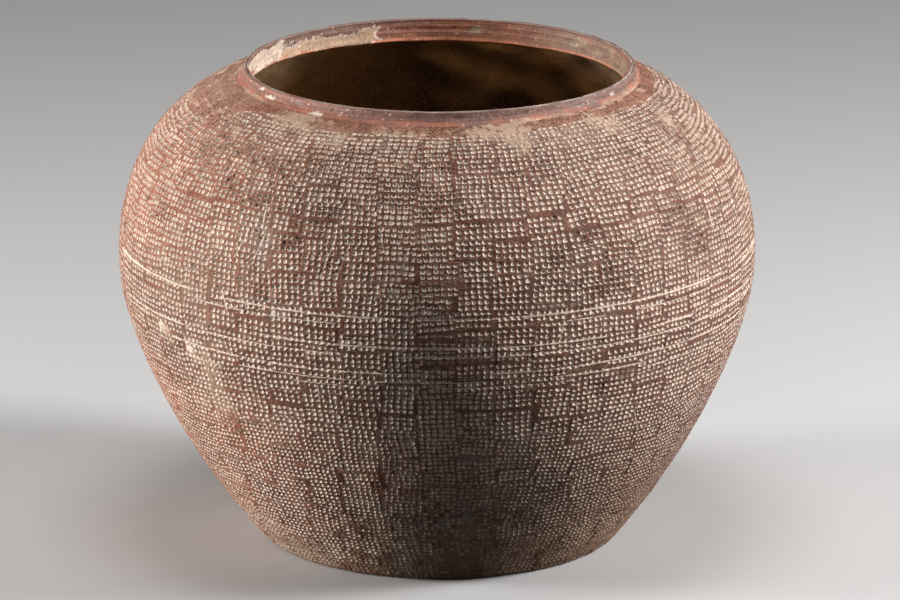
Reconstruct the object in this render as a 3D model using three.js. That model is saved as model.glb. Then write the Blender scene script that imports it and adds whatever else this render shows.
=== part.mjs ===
// A wide-mouthed stamped pottery jar, coil-built by hand and beaten thin with a carved paddle.
// The wall is a base disc, a stack of clay coils luted on each other with bevelled seams,
// and a short wheel-turned collar. Millimetres, +Z up, standing on z = 0 with its axis on Z.
import * as THREE from 'three';
import { mergeVertices } from 'three/addons/utils/BufferGeometryUtils.js';

// Overall form
const BELLY_RADIUS = 160;
const BELLY_HEIGHT = 145;
const FOOT_RADIUS = 88;
const SHOULDER_RADIUS = 101;
const SHOULDER_HEIGHT = 235.7;

// How the two wall curves leave the foot, swell into the belly and lie down on the shoulder
const FOOT_SLOPE = THREE.MathUtils.degToRad(47);
const FOOT_PULL = 45.7;
const BELLY_PULL_DOWN = 41.7;
const BELLY_PULL_UP = 60.4;
const SHOULDER_SLOPE = THREE.MathUtils.degToRad(15);
const SHOULDER_PULL = 21.2;

// Clay thickness, thinned upwards by the paddle
const FLOOR_THICKNESS = 9;
const FOOT_WALL = 8;
const BELLY_WALL = 6.2;
const SHOULDER_WALL = 5;

// Base disc with a low turned-up edge
const HEEL_ROUNDING = 2.5;
const TURNED_UP_EDGE = 16;

// Coils, each a rope of clay 10 to 12 thick beaten to a strip, and the bevelled seams between them
const COIL_COUNT = 18;
const SEAM_BEVEL = 4;
const LUTING_GAP = 0.3;

// Collar: a low band with a double-ridged lip, hollowed inside above a sharp throat edge
const COLLAR_HEIGHT = 6.3;
const LIP_RADIUS = 97.8;
const LIP_WIDTH = 2.6;
const LIP_GROOVE = 0.5;
const LIP_ROUNDING = 0.7;
const COLLAR_SWEEP = 1.6;
const COLLAR_HOLLOW = 0.9;
const THROAT_RADIUS = 94.6;
const THROAT_DEPTH = 11.4;
const THROAT_ROUNDING = 0.8;

// What the hand left: the foot and the mouth stand a little off the belly's centre,
// the shoulder leans the other way, and the belly is a little out of round
const FOOT_OFFSET = 1.7;
const MOUTH_OFFSET = 1.5;
const SHOULDER_LEAN = 1.2;
const LEAN_POWER = 4;
const OVALITY = 0.004;
const OVAL_TURN = THREE.MathUtils.degToRad(65);

// Facets
const ROUND_STEPS = 60;
const OUTER_STEPS = 2;
const INNER_STEPS = 1;
const CURVE_STEPS = 3;

const LIP_HEIGHT = SHOULDER_HEIGHT + COLLAR_HEIGHT;

// The outer face of the wall, as a radius and a height, from the foot over the belly to the shoulder
const belly = new THREE.Vector2(BELLY_RADIUS, BELLY_HEIGHT);
const lowerWall = new THREE.CubicBezierCurve(
  new THREE.Vector2(FOOT_RADIUS, 0),
  new THREE.Vector2(FOOT_RADIUS + FOOT_PULL * Math.cos(FOOT_SLOPE), FOOT_PULL * Math.sin(FOOT_SLOPE)),
  new THREE.Vector2(BELLY_RADIUS, BELLY_HEIGHT - BELLY_PULL_DOWN),
  belly,
);
const upperWall = new THREE.CubicBezierCurve(
  belly,
  new THREE.Vector2(BELLY_RADIUS, BELLY_HEIGHT + BELLY_PULL_UP),
  new THREE.Vector2(
    SHOULDER_RADIUS + SHOULDER_PULL * Math.cos(SHOULDER_SLOPE),
    SHOULDER_HEIGHT - SHOULDER_PULL * Math.sin(SHOULDER_SLOPE),
  ),
  new THREE.Vector2(SHOULDER_RADIUS, SHOULDER_HEIGHT),
);
const lowerLength = lowerWall.getLength();
const upperLength = upperWall.getLength();
const wallLength = lowerLength + upperLength;

// The curve that holds a point at a length along the wall, and where on that curve the point is
function onWall(along) {
  if (along < lowerLength) {
    return { curve: lowerWall, share: Math.max(along, 0) / lowerLength };
  }
  return { curve: upperWall, share: Math.min((along - lowerLength) / upperLength, 1) };
}

function wallThickness(along) {
  if (along < lowerLength) {
    return THREE.MathUtils.lerp(FOOT_WALL, BELLY_WALL, Math.max(along, 0) / lowerLength);
  }
  return THREE.MathUtils.lerp(BELLY_WALL, SHOULDER_WALL, (along - lowerLength) / upperLength);
}

function outerPoint(along) {
  const { curve, share } = onWall(along);
  return curve.getPointAt(share);
}

function wallDirection(along) {
  const { curve, share } = onWall(along);
  return curve.getTangentAt(share);
}

// The inner face lies one wall thickness inside the outer face, square to it
function innerPoint(along) {
  const direction = wallDirection(along);
  const inward = new THREE.Vector2(-direction.y, direction.x);
  return outerPoint(along).addScaledVector(inward, wallThickness(along));
}

function spaced(from, to, steps, pointAt) {
  return Array.from({ length: steps + 1 }, (_, i) => pointAt(from + ((to - from) * i) / steps));
}

// A seam slopes down towards the inside, so along the wall it opens wider than its gap
function seamHalfGap(along) {
  const slope = Math.atan2(SEAM_BEVEL, wallThickness(along));
  return LUTING_GAP / 2 / Math.cos(slope);
}

// A coil's section: up its outer face, over the bevel, down its inner face and back
function coilSection(lowerSeam, upperSeam, lowerBevel, upperBevel) {
  const bottom = lowerSeam + seamHalfGap(lowerSeam);
  const top = upperSeam - seamHalfGap(upperSeam);
  const outer = spaced(bottom, top, OUTER_STEPS, outerPoint);
  const inner = spaced(top - upperBevel, bottom - lowerBevel, INNER_STEPS, innerPoint);
  return [...outer, ...inner, outer[0].clone()];
}

// The base disc's section: flat underside, rounded heel, turned-up edge, bevel, coved floor
function baseSection() {
  const top = TURNED_UP_EDGE - seamHalfGap(TURNED_UP_EDGE);
  const heel = new THREE.QuadraticBezierCurve(
    new THREE.Vector2(FOOT_RADIUS - HEEL_ROUNDING, 0),
    new THREE.Vector2(FOOT_RADIUS, 0),
    outerPoint(HEEL_ROUNDING),
  );
  const edge = spaced(HEEL_ROUNDING, top, OUTER_STEPS, outerPoint);
  const coveTop = innerPoint(top - SEAM_BEVEL);
  const rise = wallDirection(top - SEAM_BEVEL);
  const coveReach = (coveTop.y - FLOOR_THICKNESS) / rise.y;
  const corner = coveTop.clone().addScaledVector(rise, -coveReach);
  const cove = new THREE.QuadraticBezierCurve(
    coveTop,
    corner,
    new THREE.Vector2(corner.x - coveReach, FLOOR_THICKNESS),
  );
  return [
    new THREE.Vector2(0, 0),
    ...heel.getPoints(CURVE_STEPS).slice(0, -1),
    ...edge,
    ...cove.getPoints(CURVE_STEPS),
    new THREE.Vector2(0, FLOOR_THICKNESS),
  ];
}

// The collar's section, from the seam on the shoulder round the lip and down to the throat
function collarSection() {
  const direction = wallDirection(wallLength);
  const inward = new THREE.Vector2(-direction.y, direction.x);
  const foot = outerPoint(wallLength).addScaledVector(direction, LUTING_GAP / 2);
  const under = foot.clone().addScaledVector(inward, SHOULDER_WALL);
  const lipInside = LIP_RADIUS - LIP_WIDTH;
  const lipMiddle = LIP_RADIUS - LIP_WIDTH / 2;
  const lipEdge = LIP_HEIGHT - LIP_ROUNDING;
  const throat = LIP_HEIGHT - THROAT_DEPTH;
  const section = new THREE.Path();
  section.moveTo(foot.x, foot.y);
  section.quadraticCurveTo(LIP_RADIUS, foot.y + COLLAR_SWEEP, LIP_RADIUS, lipEdge);
  section.quadraticCurveTo(LIP_RADIUS, LIP_HEIGHT, LIP_RADIUS - LIP_ROUNDING, LIP_HEIGHT);
  section.lineTo(lipMiddle, LIP_HEIGHT - LIP_GROOVE);
  section.lineTo(lipInside + LIP_ROUNDING, LIP_HEIGHT);
  section.quadraticCurveTo(lipInside, LIP_HEIGHT, lipInside, lipEdge);
  section.quadraticCurveTo(
    lipInside + COLLAR_HOLLOW, (lipEdge + throat) / 2, THROAT_RADIUS, throat + THROAT_ROUNDING,
  );
  section.quadraticCurveTo(THROAT_RADIUS, throat, THROAT_RADIUS + THROAT_ROUNDING, throat);
  section.lineTo(under.x, under.y);
  section.lineTo(foot.x, foot.y);
  return section.getPoints(CURVE_STEPS);
}

// How much of its lean the shoulder has at a share of the way from the belly to the lip
function leanShare(above) {
  const shape = (share) => share ** LEAN_POWER * (1 - share);
  return shape(above) / shape(LEAN_POWER / (LEAN_POWER + 1));
}

// The hand-built form's small drift off centre and out of round
function handBuilt(geometry) {
  const points = geometry.attributes.position;
  for (let i = 0; i < points.count; i += 1) {
    const x = points.getX(i);
    const y = points.getY(i);
    const z = points.getZ(i);
    const swelling = Math.sin((Math.PI * z) / LIP_HEIGHT);
    const turn = Math.atan2(y, x) - OVAL_TURN;
    const stretch = 1 + OVALITY * swelling * Math.cos(2 * turn);
    const below = Math.max(BELLY_HEIGHT - z, 0) / BELLY_HEIGHT;
    const above = Math.max(z - BELLY_HEIGHT, 0) / (LIP_HEIGHT - BELLY_HEIGHT);
    const drift = FOOT_OFFSET * below * below + MOUTH_OFFSET * above * above;
    const lean = SHOULDER_LEAN * leanShare(above);
    points.setXYZ(i, x * stretch + drift - lean, y * stretch, z);
  }
  return geometry;
}

// Turns a section about the jar's upright axis into one closed ring or disc
function turned(section) {
  const lathed = new THREE.LatheGeometry(section, ROUND_STEPS);
  lathed.rotateX(Math.PI / 2);
  lathed.deleteAttribute('uv');
  lathed.deleteAttribute('normal');
  const closed = handBuilt(mergeVertices(lathed));
  closed.computeVertexNormals();
  return closed;
}

function clay(name, section, colour, roughness) {
  const fired = new THREE.MeshStandardMaterial({ color: colour, roughness, metalness: 0 });
  const mesh = new THREE.Mesh(turned(section), fired);
  mesh.name = name;
  return mesh;
}

// Fired colours run from the buff, worn foot through red-brown to a paler shoulder
const FOOT_CLAY = new THREE.Color(0x7d5a48);
const BELLY_CLAY = new THREE.Color(0x8a5545);
const SHOULDER_CLAY = new THREE.Color(0xa06a58);
const COLLAR_CLAY = new THREE.Color(0x7a4638);
const WALL_ROUGHNESS = 0.85;
const COLLAR_ROUGHNESS = 0.6;

function wallClay(share) {
  const early = Math.min(2 * share, 1);
  const late = Math.max(2 * share - 1, 0);
  return FOOT_CLAY.clone().lerp(BELLY_CLAY, early).lerp(SHOULDER_CLAY, late);
}

const jar = new THREE.Group();
jar.name = 'stamped_jar';
jar.add(clay('base_disc', baseSection(), FOOT_CLAY, WALL_ROUGHNESS));

// The coils share the wall above the turned-up edge evenly, and the last meets the collar squarely
const coilLength = (wallLength - TURNED_UP_EDGE) / COIL_COUNT;
for (let i = 0; i < COIL_COUNT; i += 1) {
  const lowerSeam = TURNED_UP_EDGE + coilLength * i;
  const upperSeam = lowerSeam + coilLength;
  const isLast = i === COIL_COUNT - 1;
  const section = coilSection(lowerSeam, upperSeam, SEAM_BEVEL, isLast ? 0 : SEAM_BEVEL);
  const name = `wall_coil_${String(i + 1).padStart(2, '0')}`;
  jar.add(clay(name, section, wallClay((i + 1) / COIL_COUNT), WALL_ROUGHNESS));
}

jar.add(clay('neck_collar', collarSection(), COLLAR_CLAY, COLLAR_ROUGHNESS));

export default jar;
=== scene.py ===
"""The stamped pottery jar's looks: beaten check stamps, incised girth lines, pale earth in the pits,
patchy firing colours and a wheel-turned collar, built as one fine skin for each clay member."""

import math

import bpy
import numpy as np
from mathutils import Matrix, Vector


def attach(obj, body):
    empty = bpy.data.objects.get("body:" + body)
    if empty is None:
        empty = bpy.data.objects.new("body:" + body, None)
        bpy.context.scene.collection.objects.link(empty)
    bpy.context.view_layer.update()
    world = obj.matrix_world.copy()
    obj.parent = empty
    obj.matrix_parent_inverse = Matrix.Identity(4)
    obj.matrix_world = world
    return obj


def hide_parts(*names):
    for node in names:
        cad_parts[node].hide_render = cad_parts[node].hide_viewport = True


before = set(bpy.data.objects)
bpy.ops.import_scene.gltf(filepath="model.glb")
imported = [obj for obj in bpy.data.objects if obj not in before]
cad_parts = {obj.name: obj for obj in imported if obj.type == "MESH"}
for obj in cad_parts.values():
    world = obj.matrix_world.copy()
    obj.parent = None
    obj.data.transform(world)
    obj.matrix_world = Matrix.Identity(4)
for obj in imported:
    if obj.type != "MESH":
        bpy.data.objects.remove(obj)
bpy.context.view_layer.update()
chance = np.random.default_rng(36)

MM = 0.001

# Driving sizes in millimetres, the same as the solids'
BELLY_RADIUS = 160.0
BELLY_HEIGHT = 145.0
FOOT_RADIUS = 88.0
SHOULDER_RADIUS = 101.0
SHOULDER_HEIGHT = 235.7
FOOT_SLOPE = math.radians(47)
FOOT_PULL = 45.7
BELLY_PULL_DOWN = 41.7
BELLY_PULL_UP = 60.4
SHOULDER_SLOPE = math.radians(15)
SHOULDER_PULL = 21.2
FLOOR_THICKNESS = 9.0
FOOT_WALL = 8.0
BELLY_WALL = 6.2
SHOULDER_WALL = 5.0
HEEL_ROUNDING = 2.5
TURNED_UP_EDGE = 16.0
COIL_COUNT = 18
SEAM_BEVEL = 4.0
LIP_HEIGHT = SHOULDER_HEIGHT + 6.3
LIP_RADIUS = 97.8
LIP_WIDTH = 2.6
LIP_GROOVE = 0.5
LIP_ROUNDING = 0.7
COLLAR_SWEEP = 1.6
COLLAR_HOLLOW = 0.9
THROAT_RADIUS = 94.6
THROAT_DEPTH = 11.4
THROAT_ROUNDING = 0.8
FOOT_OFFSET = 1.7
MOUTH_OFFSET = 1.5
SHOULDER_LEAN = 1.2
LEAN_POWER = 4
OVALITY = 0.004
OVAL_TURN = math.radians(65)

# How finely the skins are cut
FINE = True
COLUMNS = 2400 if FINE else 672
COARSE = 4
COIL_ROWS = 37 if FINE else 12
BASE_ROWS = 36 if FINE else 12
COLLAR_COLUMNS = 1680 if FINE else 672
COLLAR_ROWS = 52 if FINE else 26

# The camera, fitted to the photograph's outline
CAMERA_DISTANCE = 4000.0
CAMERA_RISE = math.radians(15.75)
CAMERA_LENS = 318.2
CAMERA_TARGET = (6.5, -2.7, 120.3)


def bezier(a, b, c, d, share):
    """Points of a cubic curve, as rows of radius and height."""
    t = np.asarray(share)[:, None]
    a, b, c, d = (np.array(p, float) for p in (a, b, c, d))
    return (1 - t) ** 3 * a + 3 * (1 - t) ** 2 * t * b + 3 * (1 - t) * t**2 * c + t**3 * d


def bend(a, b, c, steps):
    """The points of a curve from a to c that leans towards b."""
    t = np.linspace(0, 1, steps + 1)[:, None]
    return (1 - t) ** 2 * np.array(a) + 2 * t * (1 - t) * np.array(b) + t**2 * np.array(c)


def curve_of_path(points):
    """An evenly measured path: lengths along it, its points and its unit directions."""
    steps = np.hypot(*np.diff(points, axis=0).T)
    along = np.concatenate([[0], np.cumsum(steps)])
    direction = np.gradient(points, along, axis=0)
    direction /= np.hypot(*direction.T)[:, None]
    return along, points, direction


def wall_curve():
    """The outer face of the wall, from the foot over the belly to the shoulder."""
    share = np.linspace(0, 1, 1500)
    lower = bezier(
        (FOOT_RADIUS, 0),
        (FOOT_RADIUS + FOOT_PULL * math.cos(FOOT_SLOPE), FOOT_PULL * math.sin(FOOT_SLOPE)),
        (BELLY_RADIUS, BELLY_HEIGHT - BELLY_PULL_DOWN),
        (BELLY_RADIUS, BELLY_HEIGHT),
        share,
    )
    upper = bezier(
        (BELLY_RADIUS, BELLY_HEIGHT),
        (BELLY_RADIUS, BELLY_HEIGHT + BELLY_PULL_UP),
        (
            SHOULDER_RADIUS + SHOULDER_PULL * math.cos(SHOULDER_SLOPE),
            SHOULDER_HEIGHT - SHOULDER_PULL * math.sin(SHOULDER_SLOPE),
        ),
        (SHOULDER_RADIUS, SHOULDER_HEIGHT),
        share,
    )
    return curve_of_path(np.vstack([lower, upper[1:]]))


WALL_ALONG, WALL_POINTS, WALL_DIRECTION = wall_curve()
WALL_LENGTH = WALL_ALONG[-1]


def wall_at(along):
    """The wall's outer points and outward normals at lengths along it."""
    point = np.stack([np.interp(along, WALL_ALONG, WALL_POINTS[:, k]) for k in (0, 1)], -1)
    way = np.stack([np.interp(along, WALL_ALONG, WALL_DIRECTION[:, k]) for k in (0, 1)], -1)
    way /= np.linalg.norm(way, axis=-1, keepdims=True)
    return point, np.stack([way[..., 1], -way[..., 0]], -1)


def wall_thickness(along):
    belly_along = np.interp(BELLY_HEIGHT, WALL_POINTS[:, 1], WALL_ALONG)
    return np.interp(along, [0, belly_along, WALL_LENGTH], [FOOT_WALL, BELLY_WALL, SHOULDER_WALL])


def lean_share(above):
    """How much of its lean the shoulder has at a share of the way from the belly to the lip."""
    peak = LEAN_POWER / (LEAN_POWER + 1)
    return above**LEAN_POWER * (1 - above) / (peak**LEAN_POWER * (1 - peak))


def hand_built(x, y, z):
    """The small drift off centre and out of round that the solids have too."""
    swelling = np.sin(math.pi * z / LIP_HEIGHT)
    stretch = 1 + OVALITY * swelling * np.cos(2 * (np.arctan2(y, x) - OVAL_TURN))
    below = np.maximum(BELLY_HEIGHT - z, 0) / BELLY_HEIGHT
    above = np.maximum(z - BELLY_HEIGHT, 0) / (LIP_HEIGHT - BELLY_HEIGHT)
    drift = FOOT_OFFSET * below**2 + MOUTH_OFFSET * above**2 - SHOULDER_LEAN * lean_share(above)
    return x * stretch + drift, y * stretch, z


def smooth_step(low, high, value):
    t = np.clip((value - low) / (high - low), 0, 1)
    return t * t * (3 - 2 * t)


def mix(a, b, share):
    return a + (b - a) * share[..., None]


def coat(tint, colour, share, most=1.0):
    """A tint with a colour laid over it, by a share held between nothing and the most."""
    return mix(tint, colour, np.clip(share, 0, most))


def linear(red, green, blue):
    """A colour read from the photograph, 0 to 255, as linear light."""
    c = np.array([red, green, blue], np.float32) / 255
    return np.where(c < 0.04045, c / 12.92, ((c + 0.055) / 1.055) ** 2.4)


def between(value, low, high, soft):
    """One between two limits, fading over a soft width at each."""
    return smooth_step(low - soft, low + soft, value) * smooth_step(high + soft, high - soft, value)


def near_turn(turn, middle, half):
    """One at a turn in degrees round the jar, fading over the given half width."""
    return np.exp(-(((turn - middle + 180) % 360 - 180) / half) ** 2)


TERRACOTTA = linear(170, 104, 80)
BROWN = linear(97, 52, 35)
MAUVE = linear(126, 88, 76)
# Dark clay for specks, also used as painted shade in the pits, pores and inside
SMOKED_AND_SHADE = linear(72, 47, 34)
# Dark brown for smoke, also used as painted shade on the front middle
CHARRED_AND_SHADE = linear(44, 27, 18)
ASHEN = linear(146, 130, 120)
EARTH = linear(240, 221, 204)
DULL_EARTH = linear(204, 172, 146)
BUFF = linear(176, 150, 124)
CRUST = linear(198, 168, 144)
INSIDE = linear(222, 190, 146)


class Grid:
    """Places over a surface: rows at lengths along it, columns once round the jar."""

    def __init__(self, along, columns, radius):
        self.along = along
        self.columns = columns
        self.radius = radius
        self.turn = np.arange(columns) * 2 * math.pi / columns
        self.degrees = np.degrees(self.turn)
        self.shape = (len(along), columns)

    def noise(self, size_along, size_round):
        """Soft random hills of about the given size in millimetres, with a spread of one."""
        white = chance.standard_normal(self.shape).astype(np.float32)
        step = (self.along[-1] - self.along[0]) / (len(self.along) - 1)
        row_rate = np.fft.fftfreq(self.shape[0], step)[:, None]
        column_rate = np.fft.rfftfreq(self.columns, 2 * math.pi * self.radius / self.columns)
        reach = (row_rate * size_along) ** 2 + (column_rate * size_round) ** 2
        soft = np.fft.irfft2(np.fft.rfft2(white) * np.exp(-2 * reach), self.shape)
        return (soft / soft.std()).astype(np.float32)

    def patch(self, along, turn_degrees, half_along, half_round):
        """A soft round spot, one at its middle, sizes in millimetres."""
        gap = (self.degrees - turn_degrees + 180) % 360 - 180
        across = np.radians(gap) * self.radius / half_round
        return np.exp(-(((self.along[:, None] - along) / half_along) ** 2 + across[None, :] ** 2))

    def patches(self, spots):
        """The sum of soft spots, each given as a patch with its strength after it."""
        return sum(strength * self.patch(*spot) for *spot, strength in spots)


def wall_grid():
    """The wall skins' own vertices, from the heel to the collar, with a row on each seam."""
    base = np.linspace(HEEL_ROUNDING, TURNED_UP_EDGE, BASE_ROWS + 1)[:-1]
    coils = np.linspace(TURNED_UP_EDGE, WALL_LENGTH, COIL_COUNT * COIL_ROWS + 1)
    return Grid(np.concatenate([base, coils]), COLUMNS, BELLY_RADIUS)


# The paddle's carved face: checks in rows with a plain band, and a closer grid for the foot
CHECK = (3.17, 2.85)
CHECK_CELLS = (6, 3)
PLAIN_BAND = (-0.5, 1.0)
CLOSE_CHECK = (2.75, 2.6)
CLOSE_CELLS = (7, 4)
CLOSE_BAND = 0.25
CLOSE_ZONE_TOP = 108.0
BLOW_WIDTH = 19.0
STAMPED_TOP = 9.0
FOOT_BLANK = 12.0
LAP = 0.97
LIGHT_BLOWS = 0.08
LIGHT_FORCE = 0.4
PIT_OPENING = 0.76
PIT_FLOOR = 0.12
PIT_DEPTH = 0.92
PIT_CRISPNESS = 0.3
PIT_LEAN = 1.2
PIT_SQUARENESS = 3
KINDS_OF_CHECK = 1 << 16
CHECK_SHIFT = 0.045
CHECK_SPREAD = 0.07
FILL_SPREAD = 0.13
EDGE_WOBBLE = 0.055


def paddle_rows(length):
    """How the rounds of blows lie one over another: a close grid near the foot and a wider one above it."""
    rows = []
    along = CLOSE_ZONE_TOP
    while along > -FOOT_BLANK:
        tall = CLOSE_CHECK[1] * CLOSE_CELLS[1] + CLOSE_BAND
        along -= LAP * tall
        rows.append((along, tall, CLOSE_CHECK, CLOSE_CELLS))
    along = CLOSE_ZONE_TOP
    while along < length - STAMPED_TOP + 6:
        tall = CHECK[1] * CHECK_CELLS[1] + chance.uniform(*PLAIN_BAND)
        rows.append((along, tall, CHECK, CHECK_CELLS))
        along += tall
    return rows


def paddle_marks(length):
    """Where each blow fell, in order: columns of blows side by side, from the front round to the back."""
    marks = []
    rows = paddle_rows(length)
    half_round = math.ceil(math.pi * BELLY_RADIUS / BLOW_WIDTH)
    phase = 0.0
    for column in range(-half_round, half_round + 1):
        phase = 0.85 * phase + chance.normal(0, 1.6)
        lean = chance.normal(0, 1.2)
        for along, tall, check, cells in rows:
            radius = np.interp(along, WALL_ALONG, WALL_POINTS[:, 0])
            sweep = (column + chance.normal(0, 0.05)) * BLOW_WIDTH / radius
            close = check == CLOSE_CHECK
            light = chance.random() < LIGHT_BLOWS
            force = LIGHT_FORCE if light else np.clip(chance.normal(1.0, 0.16), 0.5, 1.3)
            if abs(sweep) > math.pi:
                continue
            marks.append({
                "along": along + tall / 2 + phase + chance.normal(0, 0.45),
                "turn": 1.5 * math.pi + sweep,
                "tilt": math.radians(lean + chance.normal(0, 3.4 if close else 1.6)),
                "check": check, "cells": cells, "tall": tall, "force": force,
                "slope": chance.normal(0, 0.012, 2), "order": chance.random(),
            })
    return sorted(marks, key=lambda mark: mark["order"])


def stamp_wall(grid):
    """Presses the paddle all over the wall.

    Returns each place's spot in its check, its force, its lift and the number of the blow that made it."""
    across, down, force, lift = (np.zeros(grid.shape, np.float32) for _ in range(4))
    owner = np.zeros(grid.shape, np.int32)
    for number, mark in enumerate(paddle_marks(grid.along[-1]), start=1):
        wide = mark["check"][0] * mark["cells"][0]
        low, high = np.searchsorted(grid.along, (mark["along"] - mark["tall"], mark["along"] + mark["tall"]))
        if high <= low:
            continue
        rows = np.arange(low, high)
        local_radius = np.interp(grid.along[rows], WALL_ALONG, WALL_POINTS[:, 0])
        half = int((wide / 2 + 3) / local_radius.min() / (2 * math.pi) * grid.columns) + 2
        middle = int(round(mark["turn"] / (2 * math.pi) * grid.columns))
        offsets = np.arange(-half, half + 1)
        columns = (middle + offsets) % grid.columns
        sweep = (middle + offsets) * 2 * math.pi / grid.columns - mark["turn"]
        x = sweep[None, :] * local_radius[:, None]
        y = (grid.along[rows] - mark["along"])[:, None] + 0 * x
        cos_tilt, sin_tilt = math.cos(mark["tilt"]), math.sin(mark["tilt"])
        u, v = x * cos_tilt + y * sin_tilt, -x * sin_tilt + y * cos_tilt
        inside = (abs(u) < wide / 2 + 0.4) & (abs(v) < mark["tall"] / 2)
        check_across = (u + wide / 2) / mark["check"][0]
        check_down = (mark["tall"] / 2 - v) / mark["check"][1]
        plain = (check_down > mark["cells"][1]) | (check_across < 0) | (check_across > mark["cells"][0])
        spot = np.ix_(rows, columns)
        for whole, value in (
            (across, check_across), (down, check_down), (force, np.where(plain, 0, mark["force"])),
            (lift, mark["slope"][0] * u + mark["slope"][1] * v), (owner, number),
        ):
            whole[spot] = np.where(inside, value, whole[spot])
    for axis in (0, 1):
        cut = owner != np.roll(owner, -1, axis)
        force[cut] = 0
    return across, down, force, lift, owner


def pit_shapes(grid, across, down, owner):
    """Makes each check its own size and place, and says how full of earth each is."""
    column, row = (np.floor(spot).astype(np.int64) for spot in (across, down))
    cell = (owner.astype(np.int64) * 97 + column * 11 + row) % KINDS_OF_CHECK
    shift = chance.normal(0, CHECK_SHIFT, (2, KINDS_OF_CHECK)).astype(np.float32)[:, cell]
    size = chance.normal(1.0, CHECK_SPREAD, KINDS_OF_CHECK).astype(np.float32)[cell]
    own_fill = chance.normal(0, FILL_SPREAD, KINDS_OF_CHECK).astype(np.float32)[cell]
    fu, fv = (
        (spot % 1 - 0.5) * size + shift[axis] + EDGE_WOBBLE * grid.noise(1.6, 1.6)
        for axis, spot in enumerate((across, down))
    )
    across, down = (np.floor(spot) + 0.5 + np.clip(f, -0.49, 0.49) for spot, f in ((across, fu), (down, fv)))
    reach = (abs(2 * fu) ** PIT_SQUARENESS + abs(2 * fv) ** PIT_SQUARENESS) ** (1 / PIT_SQUARENESS)
    bowl = smooth_step(PIT_OPENING, PIT_FLOOR, reach) * (1 - PIT_LEAN * np.clip(fv, -0.4, 0.4))
    return across, down, bowl, own_fill


# Incised lines round the belly: length along the wall and how deep
GIRTH_LINES = (
    (174.3, 0.95), (170.0, 0.3), (159.7, 0.95), (154.9, 0.6), (145.8, 0.75), (141.2, 0.45), (138.0, 0.3),
)
# Short scratches: turn, length along the wall, how tall and how slanted
STROKES = (
    (232, 203, 14, 0.35), (236, 203, 13, 0.3), (250, 202, 20, 0.3), (253, 202, 20, 0.3),
    (248, 132, 11, 0.0), (250, 131, 10, 0.0), (263, 105, 12, -0.2), (265, 104, 12, -0.2),
)
FAR = 9.0
# Spots on the wall: length along it, turn, half-lengths along and round it, and strength
WIPED = (
    (163.9, 273, 2.2, 34, 1), (152.2, 276, 2.4, 40, 1), (143.6, 272, 0.9, 34, 1), (191.7, 271, 2.6, 24, 1),
    (177.5, 292, 1.6, 22, 1), (94.8, 277, 3.4, 20, 1), (50.3, 225, 1.6, 7, 1), (66.5, 229, 1.5, 8, 1),
    (83.1, 229.5, 1.6, 9, 1), (94.8, 237.8, 1.7, 8, 1), (82.8, 241, 1.6, 10, 1), (38.6, 233.3, 1.5, 8, 1),
    (72.6, 236.5, 1.4, 6, 1), (108.5, 232.5, 1.5, 7, 1),
)
CRUSTED = (
    (WALL_LENGTH - 6, 229, 8, 24, 1.3), (WALL_LENGTH - 6, 260, 5, 22, 0.8),
    (WALL_LENGTH - 6, 286, 7, 32, 1.3), (WALL_LENGTH - 17, 291, 9, 9, 0.9),
    (WALL_LENGTH - 13, 318, 8, 15, 0.9), (WALL_LENGTH - 26, 338, 8, 9, 1),
    (145, 213, 9, 6, 0.5), (149, 211, 6, 5, 0.5), (142, 220, 6, 6, 0.4),
)
SMOKY = (
    (150, 262, 34, 26, 0.35), (232, 247, 24, 26, 0.5), (232, 268, 24, 22, 0.2),
    (55, 300, 42, 34, 0.4), (194, 293, 26, 22, 0.45),
)
DUSTED = (
    (172, 224, 22, 16, 0.2), (171.8, 240.5, 5, 6, 0.5), (127, 224, 20, 11, 0.4), (103, 236, 9, 12, 0.4),
    (WALL_LENGTH - 11, 246, 8, 34, 0.5), (WALL_LENGTH - 13, 303, 9, 40, 0.4),
)
REDDER = ((205, 232, 26, 22, 0.6), (212, 289, 26, 15, 0.4))
ASHY = ((206, 236, 13, 9, 0.75), (95, 277, 5, 8, 0.4))
# Dabs of cream slip: length along the wall, turn and half-size
DABS = ((149, 211.5, 3.6), (142.3, 219.6, 3.0), (171.8, 240.5, 1.6))
WORN_TINT, FADED_TINT = linear(150, 118, 92), linear(170, 130, 112)


def scored_marks(grid):
    """How far each place is from the nearest thin incised line or stroke, and how deep that one is."""
    gap = np.full(grid.shape, FAR, np.float32)
    strength = np.zeros(grid.shape, np.float32)
    for along, deep in GIRTH_LINES:
        waves = sum(
            chance.normal(0, 0.3 / n) * np.sin(n * grid.turn + chance.uniform(0, 7)) for n in (1, 2, 3, 5, 8)
        )
        rubbed = 1.6 * near_turn(grid.degrees, 195, 46)
        kept = smooth_step(-0.6, 0.2, grid.noise(1, 50)[0] + 1.3 * deep - rubbed)
        away = abs(grid.along[:, None] - along - waves[None, :]) + 2 * (1 - kept)[None, :]
        strength = np.where(away < gap, deep, strength)
        gap = np.minimum(gap, away)
    loose = [
        (chance.uniform(180, 360), chance.uniform(60, 230), chance.uniform(5, 16), chance.normal(0, 0.3))
        for _ in range(26)
    ]
    for turn, along, tall, slant in (*STROKES, *loose):
        radius = np.interp(along, WALL_ALONG, WALL_POINTS[:, 0])
        sweep = ((grid.degrees - turn + 180) % 360 - 180) * math.pi / 180 * radius
        rise = grid.along[:, None] - along
        past_end = np.maximum(abs(rise) - tall / 2, 0)
        away = np.hypot(sweep[None, :] - slant * rise, past_end)
        strength = np.where(away < gap, 0.9, strength)
        gap = np.minimum(gap, away)
    return gap, strength


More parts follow.
